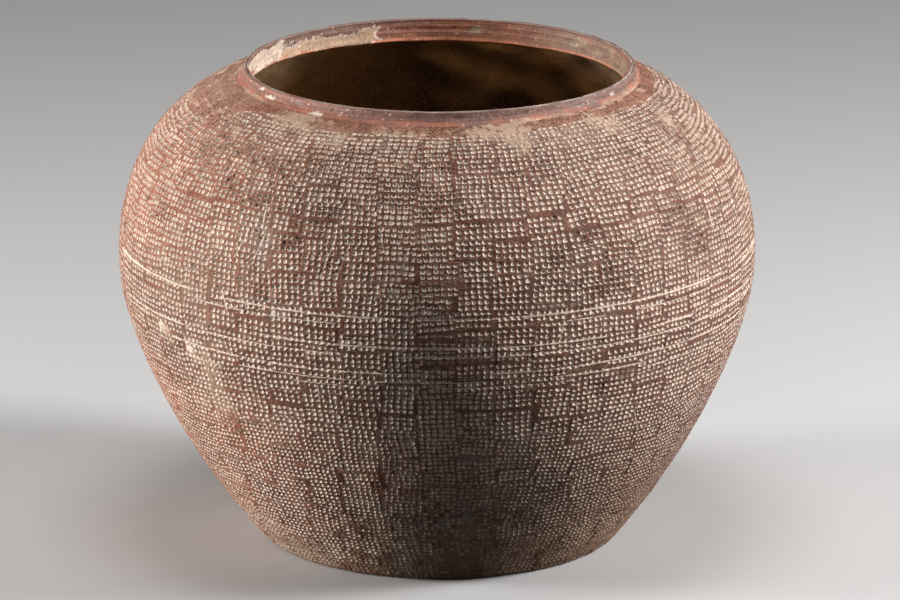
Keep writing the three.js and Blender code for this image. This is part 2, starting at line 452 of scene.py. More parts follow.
def wall_surface():
    """Everything that the outer wall's skin is made from: its relief, its tint and its marks."""
    grid = wall_grid()
    across, down, force, lift, owner = stamp_wall(grid)
    across, down, bowl, own_fill = pit_shapes(grid, across, down, owner)
    gap, strength = scored_marks(grid)
    from_top = WALL_LENGTH - grid.along[:, None]
    height = np.interp(grid.along, WALL_ALONG, WALL_POINTS[:, 1])[:, None]
    wide, medium = grid.noise(34, 40), grid.noise(10, 12)
    small, fine, streaks = grid.noise(3.5, 4), grid.noise(1.1, 1.1), grid.noise(0.8, 30)
    turn = grid.degrees[None, :] + 5 * wide

    # How firmly the marks still show where the wall is worn, wiped or daubed
    stamped = smooth_step(STAMPED_TOP - 1.5, STAMPED_TOP + 1.5, from_top + 0.6 * small + 1.2 * wide)
    foot_wear = smooth_step(30, 6, grid.along[:, None] + 4 * medium)
    foot_wear += 0.5 * smooth_step(62, 30, grid.along[:, None] + 6 * wide + 3 * medium)
    foot_wear = np.clip(foot_wear, 0, 1)
    wiped = smooth_step(0.35, 0.7, grid.patches(WIPED) + 0.06 * streaks + 0.1 * small)
    worn = smooth_step(1.1, 2.2, grid.noise(12, 16)) * 0.7
    dabs = sum(
        smooth_step(0.35, 0.65, grid.patch(along, spot, half, half) + 0.1 * fine)
        for along, spot, half in DABS
    )
    dabs = np.clip(dabs, 0, 1)
    faded = near_turn(turn, 180, 34) * smooth_step(40, 16, from_top + 3 * wide)
    force = force * stamped * (1 - dabs) * (1 - 0.85 * wiped)
    force = force * (1 - 0.75 * np.clip(worn + foot_wear + faded, 0, 1))

    # How full of earth the pits are, then the pale crust
    fill = 0.78 + 0.1 * wide + 0.11 * medium + 0.07 * small + own_fill + 0.04 * smooth_step(185, 220, height)
    fill += 0.22 * near_turn(turn, 202, 46) + 0.28 * near_turn(turn, 330, 44) - 0.4 * faded
    fill += 0.08 * near_turn(turn, 272, 20) - 0.4 * smooth_step(95, 30, height) * near_turn(turn, 286, 38)
    fill += 0.16 * near_turn(turn, 222, 18) * between(height, 35, 90, 15)
    fill += 0.16 * near_turn(turn, 306, 16) * smooth_step(170, 130, height)
    fill += 0.24 * near_turn(turn, 266, 22) * between(height, 55, 190, 20)
    fill -= 0.12 * grid.patch(192, 293, 26, 24)
    fill = np.where(force < 0.5, fill - 0.22, fill)

    crust = smooth_step(1.5, 2.3, grid.noise(6, 11) + 0.4 * fine) * smooth_step(60, 5, from_top)
    under_collar = smooth_step(3.0, 1.0, from_top + 0.8 * abs(small))
    crust += grid.patches(CRUSTED) + 0.7 * under_collar * smooth_step(-0.4, 0.8, grid.noise(8, 30))
    crust = np.clip(crust * (0.8 + 0.3 * small + 0.12 * fine), 0, 1)

    # The relief, in millimetres under the measured curve
    depth = PIT_DEPTH * force * bowl * (1 - 0.7 * crust) * (1.12 - 0.55 * smooth_step(0.6, 1.15, fill))
    depth *= 1 - 0.15 * near_turn(turn, 272, 30)
    depth = np.maximum(depth, 0.55 * strength * smooth_step(0.65, 0.1, gap))
    depth += 0.06 * medium + 0.04 * small + 0.03 * fine + 0.03 * streaks - lift - 0.2 * crust
    pores = smooth_step(3.6, 4.1, grid.noise(0.9, 0.9))
    depth += 0.8 * pores

    # The fired clay's colours, then smoke, painted shade, wear and dust over them
    left, right = near_turn(turn, 203, 48), near_turn(turn, 330, 55)
    tint = coat(BROWN + 0 * fine[..., None], TERRACOTTA, 0.95 * left + 0.12 * medium)
    tint = coat(tint, TERRACOTTA, grid.patches(REDDER) + 0.1 * small)
    lower_left = near_turn(turn, 208, 34) * between(height, 100, 160, 22)
    tint = coat(tint, MAUVE, 0.75 * right + 0.7 * lower_left + 0.08 * medium)
    # The darkening over the front middle, deepest towards the bottom, is painted shade; the listed smoky
    # patches and broad noise are firing smoke
    smoke_and_shade = near_turn(turn, 273, 32) * smooth_step(205, 40, height) * 0.9
    smoke_and_shade += grid.patches(SMOKY) + 0.16 * smooth_step(0.9, 2.2, wide)
    tint = coat(tint, CHARRED_AND_SHADE, smoke_and_shade + 0.05 * medium, 0.92)
    tint = coat(tint, WORN_TINT, 0.75 * foot_wear * (0.85 + 0.25 * medium), 0.85)
    tint = coat(tint, TERRACOTTA * 0.7, wiped * near_turn(turn, 232, 14) * 0.9)
    tint = tint * (1 - 0.26 * near_turn(turn, 222, 32) * smooth_step(85, 125, height))[..., None]
    # Painted shade: the front middle darkened further near the bottom
    painted_low_shade = near_turn(turn, 275, 22) * smooth_step(75, 20, height)
    tint = tint * (1 - 0.45 * painted_low_shade * (0.9 + 0.2 * medium))[..., None]
    veil = 0.05 * np.clip(medium, 0, 2) + 0.12 * smooth_step(1.2, 2.4, small)
    veil += grid.patches(DUSTED) * (0.8 + 0.3 * medium)
    tint = coat(tint, DULL_EARTH, veil, 0.6)
    tint = coat(tint, ASHEN, grid.patches(ASHY) * (0.8 + 0.3 * small), 0.8)
    tint = coat(tint, EARTH, dabs)
    bare = smooth_step(STAMPED_TOP + 3, STAMPED_TOP - 2, from_top + 1.2 * wide) * (0.5 + 0.2 * medium)
    tint = coat(tint, TERRACOTTA * 0.7, bare * (1 - faded), 0.8)
    dusty = np.clip(faded + 0.6 * bare * near_turn(turn, 335, 36), 0, 1)
    tint = coat(tint, FADED_TINT, dusty * (0.75 + 0.15 * small), 0.85)
    # The pores are coloured near black: painted shade in the holes
    tint = coat(tint, SMOKED_AND_SHADE * 0.3, pores)
    mottle = 0.05 * np.clip(fine, -2, 2) + 0.05 * np.clip(small, -2, 2) + 0.06 * np.clip(streaks, -2, 2)
    tint = tint * (1 + mottle)[..., None]
    return {
        "grid": grid, "depth": depth.astype(np.float32), "tint": np.clip(tint, 0.004, 0.95),
        "cell": np.stack([across, down, np.clip(force, 0, 1)], -1),
        "marks": np.stack([np.clip(fill, 0, 1), gap + 0.3 * (1 - strength), crust], -1),
    }


class Skin:
    """A closed mesh put together from grids of points round the jar."""

    def __init__(self):
        self.points, self.values, self.count = [], [], 0
        self.faces, self.uvs, self.rims = [], [], []

    def grid(self, radius, height, tint, cell=(0.0, 0.0, 0.0), marks=(0.0, FAR, 0.0)):
        """Adds rows of points at these radii and heights, each row once round. Returns their numbers."""
        columns = radius.shape[1]
        turn = np.arange(columns) * 2 * math.pi / columns
        x, y, z = hand_built(radius * np.cos(turn), radius * np.sin(turn), height)
        points = np.stack([x, y, z], -1).reshape(-1, 3) * MM
        numbers = self.count + np.arange(len(points)).reshape(radius.shape)
        self.points.append(points)
        shape = (*radius.shape, 3)
        self.values.append([np.broadcast_to(value, shape).reshape(-1, 3) for value in (tint, cell, marks)])
        self.count += len(points)
        self.rims += [numbers[0], numbers[-1]]
        return numbers

    def sunk(self, point, normal, deep, *values):
        """Adds rows of points that lie this deep under a surface's points."""
        radius, height = (point[:, axis, None] - normal[:, axis, None] * deep for axis in (0, 1))
        return self.grid(radius, height, *values)

    def pole(self, height, tint):
        return self.grid(np.zeros((1, 1)), np.full((1, 1), height), tint)[0, 0]

    def cover(self, numbers, low, high, strips):
        """Quads over a grid. In the flat map its turns are cut into strips, stacked between low and high."""
        rows, columns = numbers.shape
        across = np.roll(numbers, -1, axis=1)
        quads = np.stack([numbers[:-1], across[:-1], across[1:], numbers[1:]], -1).reshape(-1, 4)
        column = np.arange(columns)
        per_strip = columns // strips
        strip = np.minimum(column // per_strip, strips - 1)
        left = (column - strip * per_strip) / per_strip
        right = left + 1 / per_strip
        tall = (high - low) / strips
        margin = 0.02
        row = np.arange(rows) / (rows - 1) * (1 - margin)
        v = low + (strip[None, :] + row[:, None]) * tall
        u0 = np.broadcast_to(left * (1 - margin), (rows - 1, columns))
        u1 = np.broadcast_to(right * (1 - margin), (rows - 1, columns))
        corners = [(u0, v[:-1]), (u1, v[:-1]), (u1, v[1:]), (u0, v[1:])]
        self.faces.append(quads)
        self.uvs.append(np.stack([np.stack(c, -1) for c in corners], 2).reshape(-1, 4, 2))

    def bridge(self, fine, coarse, flip):
        """Many-sided faces between a fine ring and a coarse ring."""
        per = len(fine) // len(coarse)
        start = np.arange(len(coarse)) * per
        sides = [fine[(start + k) % len(fine)] for k in range(per + 1)]
        faces = np.stack([*sides, np.roll(coarse, -1), coarse], -1)
        self.add(faces[:, ::-1] if flip else faces)

    def fan(self, ring, pole, flip):
        faces = np.stack([ring, np.roll(ring, -1), np.full(len(ring), pole)], -1)
        self.add(faces[:, ::-1] if flip else faces)

    def add(self, faces):
        self.faces.append(faces)
        self.uvs.append(np.full((*faces.shape, 2), 0.999))

    def sharpen_rims(self, mesh):
        """Keeps the hidden seam faces from bending the light on the faces that show."""
        rim_of = np.zeros(len(mesh.vertices), np.int32)
        for number, rim in enumerate(self.rims, start=1):
            rim_of[rim] = number
        ends = np.empty(2 * len(mesh.edges), np.int32)
        mesh.edges.foreach_get("vertices", ends)
        ends = rim_of[ends.reshape(-1, 2)]
        sharp = mesh.attributes.new("sharp_edge", "BOOLEAN", "EDGE")
        sharp.data.foreach_set("value", (ends[:, 0] == ends[:, 1]) & (ends[:, 0] > 0))

    def build(self, name, node, material):
        points = np.concatenate(self.points)
        sizes = np.concatenate([np.full(len(f), f.shape[1]) for f in self.faces])
        corners = np.concatenate([f.ravel() for f in self.faces])
        mesh = bpy.data.meshes.new(name)
        mesh.vertices.add(len(points))
        mesh.vertices.foreach_set("co", points.astype(np.float32).ravel())
        mesh.loops.add(len(corners))
        mesh.loops.foreach_set("vertex_index", corners.astype(np.int32))
        mesh.polygons.add(len(sizes))
        starts = np.concatenate([[0], np.cumsum(sizes)[:-1]]).astype(np.int32)
        mesh.polygons.foreach_set("loop_start", starts)
        mesh.polygons.foreach_set("loop_total", sizes.astype(np.int32))
        mesh.update(calc_edges=True)
        flat = mesh.uv_layers.new(name="OFBake")
        uv = np.concatenate([u.reshape(-1, 2) for u in self.uvs])
        flat.data.foreach_set("uv", uv.astype(np.float32).ravel())
        tint, cell, marks = (np.concatenate(parts) for parts in zip(*self.values))
        rgba = np.ones((len(points), 4), np.float32)
        rgba[:, :3] = tint
        mesh.color_attributes.new("tint", "FLOAT_COLOR", "POINT").data.foreach_set("color", rgba.ravel())
        for label, value in (("cell", cell), ("marks", marks)):
            kept = mesh.attributes.new(label, "FLOAT_VECTOR", "POINT")
            kept.data.foreach_set("vector", value.astype(np.float32).ravel())
        mesh.polygons.foreach_set("use_smooth", np.ones(len(mesh.polygons), bool))
        self.sharpen_rims(mesh)
        mesh.validate()
        mesh.materials.append(material)
        piece = bpy.data.objects.new(name, mesh)
        bpy.context.collection.objects.link(piece)
        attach(piece, "root")
        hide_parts(node)
        return piece


def inside_surface():
    """The inner face's dents and its earthy colour, with painted shade on the far side, on a coarse grid of
    its own.
    """
    grid = Grid(np.linspace(0, WALL_LENGTH, 200), COLUMNS // COARSE, BELLY_RADIUS)
    wide, medium, fine = grid.noise(22, 26), grid.noise(7, 9), grid.noise(2.5, 2.5)
    dents = 0.4 * wide + 0.12 * medium
    tint = coat(INSIDE + 0 * fine[..., None], BUFF * 0.7, 0.1 + 0.12 * medium + 0.06 * fine)
    # Painted shade: the far side of the inner face, which shows through the mouth, is darkened; elsewhere it
    # darkens a little at random
    painted_back_shade = near_turn(grid.degrees[None, :] + 8 * wide, 88, 38)
    tint = coat(tint, SMOKED_AND_SHADE * 0.7, 0.04 + 0.2 * wide + 0.85 * painted_back_shade)
    return {"grid": grid, "dents": dents, "tint": tint}


def inner_rows(inside, along, key):
    """The inner surface's values at lengths along the wall."""
    grid = inside["grid"]
    place = np.clip(np.asarray(along) / grid.along[-1] * (grid.shape[0] - 1), 0, grid.shape[0] - 1.001)
    row = place.astype(int)
    share = (place - row).reshape(-1, *[1] * (inside[key].ndim - 1))
    return inside[key][row] * (1 - share) + inside[key][row + 1] * share


def outer_grid(skin, wall, rows):
    """Adds the wall's own rows to a skin."""
    values = (wall[key][rows] for key in ("depth", "tint", "cell", "marks"))
    return skin.sunk(*wall_at(wall["grid"].along[rows]), *values)


def coil(index, wall, inside, material):
    """One coil's skin: the stamped outer face, its two seams and the dented inner face."""
    first = BASE_ROWS + index * COIL_ROWS
    rows = slice(first, first + COIL_ROWS + 1)
    low, high = wall["grid"].along[[first, first + COIL_ROWS]]
    skin = Skin()
    outer = outer_grid(skin, wall, rows)
    upper_bevel = 0 if index == COIL_COUNT - 1 else SEAM_BEVEL
    inner_along = np.linspace(high - upper_bevel, low - SEAM_BEVEL, COIL_ROWS // COARSE + 1)
    thick = wall_thickness(inner_along)[:, None] - inner_rows(inside, inner_along, "dents")
    inner = skin.sunk(*wall_at(inner_along), thick, inner_rows(inside, inner_along, "tint"))
    skin.cover(outer, 0.0, 0.8, 6)
    skin.cover(inner, 0.82, 0.98, 2)
    skin.bridge(outer[-1], inner[0], flip=False)
    skin.bridge(outer[0], inner[-1], flip=True)
    name = f"wall_coil_{index + 1:02d}"
    return skin.build(f"{name}_skin", name, material)


HEEL_STEPS = 6
COVE_STEPS = 8
UNDER_RINGS = 24
FLOOR_RINGS = 30


def base(wall, inside, material):
    """The base disc's skin: worn underside, rounded heel, stamped edge, coved floor."""
    skin = Skin()
    coarse = COLUMNS // COARSE
    point, normal = wall_at(np.array([HEEL_ROUNDING]))
    share = np.linspace(0, 1, HEEL_STEPS + 1)[:, None]
    heel = bend((FOOT_RADIUS - HEEL_ROUNDING, 0), (FOOT_RADIUS, 0), point[0], HEEL_STEPS)
    fade = share * wall["depth"][:1]
    first_tint = wall["tint"][0]
    heel_ring = skin.grid(
        heel[:, :1] - fade * normal[0, 0], np.maximum(heel[:, 1:] - fade * normal[0, 1], 0),
        mix(BUFF * 0.8 + 0 * first_tint, first_tint, np.repeat(share, COLUMNS, 1)),
    )
    skin.rims.pop()
    outer = outer_grid(skin, wall, slice(1, BASE_ROWS + 1))
    skin.rims.pop(-2)
    outer = np.vstack([heel_ring, outer])
    under_radius = np.linspace(FOOT_RADIUS - HEEL_ROUNDING - 1, 2, UNDER_RINGS)
    patches = chance.random((UNDER_RINGS, coarse)) * 0.4
    under_tint = mix(BUFF * 0.8 + np.zeros((UNDER_RINGS, coarse, 3)), BROWN, patches)
    under = skin.grid(
        np.repeat(under_radius[:, None], coarse, 1), np.zeros((UNDER_RINGS, coarse)), under_tint,
    )
    top = TURNED_UP_EDGE - SEAM_BEVEL
    cove_point, cove_normal = wall_at(np.array([top]))
    cove_top = (cove_point - cove_normal * wall_thickness(np.array([top]))[:, None])[0]
    rise = np.array([-cove_normal[0, 1], cove_normal[0, 0]])
    reach = (cove_top[1] - FLOOR_THICKNESS) / rise[1]
    corner = cove_top - rise * reach
    cove = bend(cove_top, corner, (corner[0] - reach, FLOOR_THICKNESS), COVE_STEPS)
    floor_radius = np.linspace(cove[-1, 0], 2, FLOOR_RINGS)[1:]
    floor = np.stack([floor_radius, np.full(len(floor_radius), FLOOR_THICKNESS)], -1)
    path = np.vstack([cove, floor])
    lengths = np.linspace(top, 0, len(path))
    dents = inner_rows(inside, lengths, "dents") * 0.4 * smooth_step(0, 5, np.arange(len(path)))[:, None]
    dents *= np.linspace(1, 0, len(path))[:, None]
    inner = skin.grid(
        np.repeat(path[:, :1], coarse, 1), path[:, 1:] + dents, inner_rows(inside, lengths, "tint"),
    )
    skin.cover(outer, 0.0, 0.45, 6)
    skin.cover(under, 0.47, 0.72, 1)
    skin.cover(inner, 0.74, 0.98, 1)
    skin.bridge(outer[-1], inner[0], flip=False)
    skin.bridge(outer[0], under[0], flip=True)
    skin.fan(under[-1], skin.pole(0.0, BUFF * 0.8), flip=False)
    skin.fan(inner[-1], skin.pole(FLOOR_THICKNESS, INSIDE), flip=False)
    return skin.build("base_disc_skin", "base_disc", material)


def collar_path():
    """The collar's section, from the seam on the shoulder round the lip and down to the throat."""
    point, normal = wall_at(np.array([WALL_LENGTH]))
    foot, under = point[0], point[0] - normal[0] * SHOULDER_WALL
    lip_inside, lip_middle = LIP_RADIUS - LIP_WIDTH, LIP_RADIUS - LIP_WIDTH / 2
    lip_edge, throat = LIP_HEIGHT - LIP_ROUNDING, LIP_HEIGHT - THROAT_DEPTH
    outer_ridge, inner_ridge = LIP_RADIUS - LIP_ROUNDING, lip_inside + LIP_ROUNDING
    valley = LIP_HEIGHT - 2 * LIP_GROOVE
    throat_edge = (THROAT_RADIUS, throat + THROAT_ROUNDING)
    hollow = (lip_inside + COLLAR_HOLLOW, (lip_edge + throat) / 2)
    corners = (
        (foot, (LIP_RADIUS, foot[1] + COLLAR_SWEEP), 16),
        ((LIP_RADIUS, lip_edge), (LIP_RADIUS, LIP_HEIGHT), 4),
        ((outer_ridge, LIP_HEIGHT), (lip_middle, valley), 6),
        ((inner_ridge, LIP_HEIGHT), (lip_inside, LIP_HEIGHT), 4),
        ((lip_inside, lip_edge), hollow, 18),
        (throat_edge, (THROAT_RADIUS, throat), 3),
        ((THROAT_RADIUS + THROAT_ROUNDING, throat), None, 0),
    )
    bends = [bend(a, b, c, steps)[1:] for (a, b, steps), (c, _, _) in zip(corners, corners[1:])]
    return np.vstack([foot, *bends]), under


COLLAR_FRONT, COLLAR_LEFT, COLLAR_RIGHT = linear(132, 98, 88), linear(148, 95, 74), linear(127, 99, 89)
COLLAR_PAINTED_SHEEN, COLLAR_CRUST, COLLAR_STAIN = linear(140, 108, 96), linear(186, 152, 124), linear(182, 160, 134)
THROAT_RED, THROAT_TAN = linear(184, 120, 92), linear(182, 144, 122)
THROAT_GREY, THROAT_EDGE = linear(140, 116, 104), linear(228, 142, 108)
# Dried drips inside the collar: turn, half-width, from and to a share of the way down, fading and strength
DRIPS = ((44, 3.5, 0.3, 0.75, 0.2, 1), (30, 4, 0.25, 0.8, 0.2, 1), (82, 2, 0.3, 0.6, 0.15, 0.8))
# Pale smears outside the collar: turn, length above the shoulder and half-height
SMEARS = ((206, 5.6, 1.0), (213, 3.8, 1.3), (233, 1.8, 1.4), (331, 4.5, 1.1))


def collar(wall, material):
    """The collar's skin, with turning lines, nicks and flakes of pale crust on its inner face."""
    path, under = collar_path()
    along, points, direction = curve_of_path(path)
    normal = np.stack([direction[:, 1], -direction[:, 0]], -1)
    stops = np.linspace(0, along[-1], COLLAR_ROWS)
    grid = Grid(stops, COLLAR_COLUMNS, LIP_RADIUS)
    wide, medium, fine = grid.noise(6, 60), grid.noise(2.5, 9), grid.noise(0.8, 1.2)
    turning = grid.noise(0.7, 400)
    lip_from, lip_to = along[16], along[30]
    outer_share = smooth_step(lip_from, lip_from - 2, stops)[:, None]
    inner_share = smooth_step(lip_to, lip_to + 1, stops)[:, None]
    streaked = turning + 0.4 * medium
    turn = grid.degrees[None, :] + 4 * wide
    plain_turn = grid.degrees[None, :] + 1.2 * medium
    sunk = ((stops - lip_to) / (along[-1] - lip_to))[:, None]
    left, right = near_turn(turn, 212, 36), near_turn(turn, 330, 34)
    tint = coat(COLLAR_FRONT + 0 * fine[..., None], COLLAR_LEFT, (0.9 + 0.1 * medium) * left)
    tint = coat(tint, COLLAR_RIGHT, 0.85 * right + 0.1 * streaked * right)
    # A painted sheen laid over the collar's outer face
    tint = coat(tint, COLLAR_PAINTED_SHEEN, outer_share * between(stops, 4, lip_from, 1)[:, None] * 0.45)
    lower_edge = smooth_step(5.5, 1.5, stops)[:, None] * outer_share
    tint = coat(tint, TERRACOTTA, lower_edge * (0.6 + 0.3 * medium), 0.9)
    tint = coat(tint, THROAT_RED, inner_share * (0.35 + 0.35 * near_turn(turn, 85, 30) + 0.2 * streaked))
    tint = coat(tint, THROAT_TAN, inner_share * between(turn, 15, 62, 10) * (0.6 + 0.2 * streaked))
    high_left = inner_share * between(turn, 100, 170, 10) * smooth_step(0.6, 0.4, sunk)
    tint = coat(tint, THROAT_GREY, high_left * (0.6 + 0.25 * streaked))
    tint = coat(tint, THROAT_EDGE, inner_share * smooth_step(0.8, 0.92, sunk + 0.02 * medium) * 0.9)
    # Painted highlights along the lip's two ridges
    ridge_highlights = near_turn(stops, along[20], 0.5) + near_turn(stops, along[26], 0.5)
    ridge_highlights = ridge_highlights[:, None] * (1 - 0.6 * near_turn(turn, 90, 55))
    tint = coat(tint, EARTH * 0.8, ridge_highlights * (0.5 + 0.3 * medium), 0.8)
    ragged = 0.09 * medium + 0.05 * fine
    crust = between(plain_turn, 109, 147, 1) * smooth_step(0.36, 0.44, sunk + ragged)
    crust += between(plain_turn, 148, 176, 3) * smooth_step(0.1, 0.2, sunk + ragged)
    crust = np.clip(crust, 0, 1) * inner_share * smooth_step(0.93, 0.85, sunk + ragged)
    tint = coat(tint, COLLAR_CRUST, crust)
    stains = near_turn(turn, 14, 5) * smooth_step(0.2, 0.5, sunk)
    for middle, half, upper, lower, soft, strength in DRIPS:
        stains = stains + strength * near_turn(turn, middle, half) * between(sunk, upper, lower, soft)
    stains = np.clip(1.3 * stains * (0.8 + 0.35 * medium + 0.2 * fine), 0, 0.85) * inner_share
    tint = coat(tint, COLLAR_STAIN, stains)
    whiter = 3.6 * crust * (1 - crust) + crust * (0.6 * between(plain_turn, 150, 178, 4) + 0.06 * fine)
    tint = coat(tint, EARTH, whiter)
    flecks = smooth_step(3.2, 3.7, grid.noise(0.9, 1.6))
    for spot_turn, spot_along, half in SMEARS:
        smear = grid.patch(spot_along, spot_turn, half, 3 * half) * (0.8 + 0.5 * medium)
        flecks += smooth_step(0.4, 0.8, smear + 0.2 * fine)
    flecks = np.clip(flecks, 0, 1)
    tint = coat(tint, EARTH, flecks * 0.85)
    foot_dust = smooth_step(2.4, 0.4, stops[:, None] + 0.8 * fine) * smooth_step(0.2, 0.9, grid.noise(9, 22))
    tint = coat(tint, DULL_EARTH, foot_dust * 0.8)
    lines = 0.16 * np.clip(turning, -1.5, 1.5) * (1 - crust)
    tint = tint * (1 + 0.08 * np.clip(fine, -2, 2) - lines)[..., None]
    tint = tint * (1 + outer_share * (0.16 - 0.4 * np.clip(left + right, 0, 1)))[..., None]
    nicks = smooth_step(2.5, 3.2, grid.noise(1.5, 3)) * 0.5
    depth = 0.12 * turning * (0.5 + 0.8 * inner_share) * (1 - 0.8 * crust) + 0.05 * fine + 0.1 * medium
    depth = (depth + nicks - 0.22 * crust - 0.15 * flecks) * smooth_step(0, 1.2, stops)[:, None]
    place = np.stack([np.interp(stops, along, points[:, k]) for k in (0, 1)], -1)
    out = np.stack([np.interp(stops, along, normal[:, k]) for k in (0, 1)], -1)
    out[0] = wall_at(np.array([WALL_LENGTH]))[1][0]
    seam_columns = np.arange(COLLAR_COLUMNS) * COLUMNS / COLLAR_COLUMNS
    depth[0] = np.interp(seam_columns, np.arange(COLUMNS), wall["depth"][-1], period=COLUMNS)
    skin = Skin()
    shell = skin.sunk(place, out, depth, np.clip(tint, 0.004, 0.9))
    coarse = COLLAR_COLUMNS // COARSE
    low = skin.grid(np.full((1, coarse), under[0]), np.full((1, coarse), under[1]), INSIDE)
    skin.cover(shell, 0.0, 0.95, 6)
    skin.bridge(shell[-1], low[0], flip=False)
    skin.bridge(shell[0], low[0], flip=True)
    return skin.build("neck_collar_skin", "neck_collar", material)


class Shading:
    """A material's nodes, joined up as the sums they stand for."""

    def __init__(self, name):
        self.material = bpy.data.materials.new(name)
        self.material.use_nodes = True
        self.tree = self.material.node_tree
        self.tree.nodes.clear()

    def node(self, kind, **settings):
        made = self.tree.nodes.new(kind)
        for key, value in settings.items():
            setattr(made, key, value)
        return made

    def put(self, socket, value):
        if isinstance(value, bpy.types.NodeSocket):
            self.tree.links.new(value, socket)
        else:
            socket.default_value = value

    def sum(self, operation, *values):
        made = self.node("ShaderNodeMath", operation=operation)
        for socket, value in zip(made.inputs, values):
            self.put(socket, value)
        return made.outputs[0]

    def times(self, first, *others):
        for other in others:
            first = self.sum("MULTIPLY", first, other)
        return first

    def step(self, value, low, high, start=0.0, end=1.0, smooth=True):
        made = self.node("ShaderNodeMapRange", interpolation_type="SMOOTHSTEP" if smooth else "LINEAR")
        for label, given in (
            ("Value", value), ("From Min", low), ("From Max", high), ("To Min", start), ("To Max", end),
        ):
            self.put(made.inputs[label], given)
        return made.outputs["Result"]

    def spread(self, noise, start, end, smooth=True):
        """Noise stretched over its usual range, to run from one value to the other."""
        return self.step(noise, 0.3, 0.7, start, end, smooth)

    def blend(self, share, a, b, mode="MIX"):
        made = self.node("ShaderNodeMix", data_type="RGBA", blend_type=mode)
        self.put(made.inputs[0], share)
        for socket, value in ((made.inputs[6], a), (made.inputs[7], b)):
            self.put(socket, value if isinstance(value, bpy.types.NodeSocket) else (*map(float, value), 1.0))
        return made.outputs[2]

    def place(self):
        return self.node("ShaderNodeTexCoord").outputs["Object"]

    def noise(self, size, detail=3.0, rough=0.6, flat=1.0):
        """Cloudy noise with features of about this size in millimetres, drawn out level by flat."""
        made = self.node("ShaderNodeTexNoise")
        stretched = self.node("ShaderNodeVectorMath", operation="MULTIPLY")
        self.put(stretched.inputs[0], self.place())
        stretched.inputs[1].default_value = (1 / flat, 1 / flat, 1)
        self.put(made.inputs["Vector"], stretched.outputs[0])
        self.put(made.inputs["Scale"], 1 / (size * MM))
        self.put(made.inputs["Detail"], detail)
        self.put(made.inputs["Roughness"], rough)
        return made.outputs["Fac"]

    def attribute(self, name, kind="Vector"):
        return self.node("ShaderNodeAttribute", attribute_name=name).outputs[kind]

    def parts(self, vector):
        made = self.node("ShaderNodeSeparateXYZ")
        self.put(made.inputs[0], vector)
        return made.outputs

    def finish(self, colour, grain, roughness, height, bump, specular):
        """The finished material: the colour made lighter and darker by the grain, and the bumps' height."""
        grained = self.node("ShaderNodeVectorMath", operation="SCALE")
        self.put(grained.inputs[0], colour)
        self.put(grained.inputs["Scale"], grain)
        shader = self.node("ShaderNodeBsdfPrincipled")
        shader.inputs["Specular IOR Level"].default_value = specular
        self.put(shader.inputs["Base Color"], grained.outputs[0])
        self.put(shader.inputs["Roughness"], roughness)
        lifted = self.node("ShaderNodeBump")
        lifted.inputs["Strength"].default_value = 1.0
        lifted.inputs["Distance"].default_value = bump * MM
        self.put(lifted.inputs["Height"], height)
        self.put(shader.inputs["Normal"], lifted.outputs["Normal"])
        return self.show(shader)

    def show(self, shader):
        out = self.node("ShaderNodeOutputMaterial")
        self.put(out.inputs["Surface"], shader.outputs[0])
        return self.material


